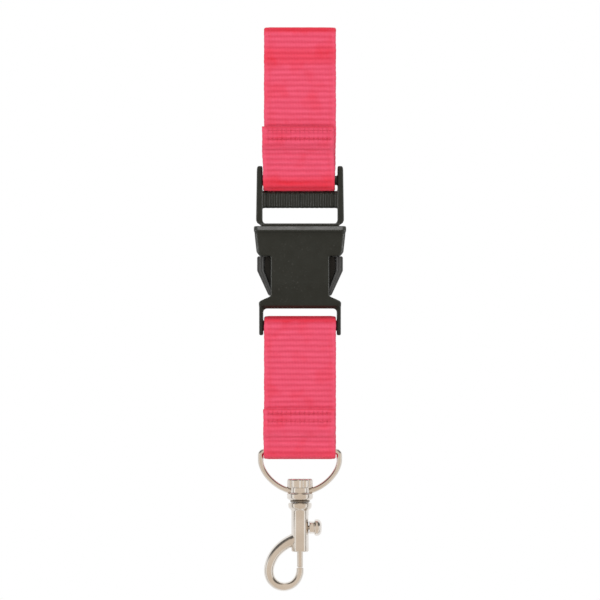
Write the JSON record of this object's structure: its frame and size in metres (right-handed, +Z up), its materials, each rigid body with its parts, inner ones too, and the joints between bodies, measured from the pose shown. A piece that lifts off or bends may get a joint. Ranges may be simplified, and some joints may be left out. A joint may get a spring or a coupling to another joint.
{
  "type": "key lanyard",
  "caption": "Short coral webbing key lanyard with a black side-release buckle, a wire D-ring and a swivel snap hook with a thumb bolt.",
  "frame": {"origin": "inside top of the upper webbing loop, where it hangs on a peg or finger", "axes": "+Z up along the hanging lanyard, -Y towards the side with the seams (the front), +X towards the hook's thumb knob"},
  "size_m": [0.0256, 0.0108, 0.1567],
  "materials": {
    "webbing": "ribbed weave",
    "thread": "satin thread",
    "buckle_plastic": "fine satin",
    "nickel_plate": "polished",
    "spring_steel": "drawn wire"
  },
  "bodies": {
    "loop": {"upper_strap": "webbing", "upper_stitch_row_a": "thread", "upper_stitch_row_b": "thread"},
    "male_half": {"male_frame": "buckle_plastic"},
    "left_latch": {"latch_left": "buckle_plastic"},
    "right_latch": {"latch_right": "buckle_plastic"},
    "female_half": {"female_housing": "buckle_plastic"},
    "band": {"lower_strap": "webbing", "lower_stitch_row_a": "thread", "lower_stitch_row_b": "thread"},
    "ring": {"d_ring": "nickel_plate"},
    "swivel": {"swivel_eye": "nickel_plate"},
    "hook": {"hook_body": "nickel_plate", "bolt_spring": "spring_steel"},
    "bolt_and_knob": {"bolt": "nickel_plate", "thumb_knob": "nickel_plate"}
  },
  "joints": [
    {"name": "buckle_swing", "type": "hinge", "parent": "loop", "child": "male_half", "pos_m": [0, 0, -0.0413], "axis": [1, 0, 0], "range_deg": [-60, 60]},
    {"name": "left_latch_press", "type": "hinge", "parent": "male_half", "child": "left_latch", "pos_m": [-0.00955, 0, -0.0571], "axis": [0, -1, 0], "range_deg": [0, 14], "stiffness_Nm_per_rad": 0.3},
    {"name": "right_latch_press", "type": "hinge", "parent": "male_half", "child": "right_latch", "pos_m": [0.00955, 0, -0.0571], "axis": [0, 1, 0], "range_deg": [0, 14], "stiffness_Nm_per_rad": 0.3},
    {"name": "buckle_release", "type": "slide", "parent": "male_half", "child": "female_half", "axis": [0, 0, -1], "range_m": [0, 0.022], "deforming": ["latch_left", "latch_right"]},
    {"name": "band_swing", "type": "hinge", "parent": "female_half", "child": "band", "pos_m": [0, 0, -0.0816], "axis": [1, 0, 0], "range_deg": [-75, 75]},
    {"name": "ring_swing", "type": "hinge", "parent": "band", "child": "ring", "pos_m": [0, 0, -0.1166], "axis": [1, 0, 0], "range_deg": [-70, 70]},
    {"name": "eye_swing", "type": "hinge", "parent": "ring", "child": "swivel", "pos_m": [0, 0, -0.1279], "axis": [1, 0, 0], "range_deg": [-60, 60]},
    {"name": "hook_turn", "type": "hinge", "parent": "swivel", "child": "hook", "pos_m": [0, 0, -0.1308], "axis": [0, 0, 1], "continuous": true},
    {"name": "bolt_pull", "type": "slide", "parent": "hook", "child": "bolt_and_knob", "axis": [0, 0, 1], "range_m": [0, 0.003], "stiffness_N_per_m": 500, "springref_m": -0.002, "deforming": ["bolt_spring"]}
  ]
}
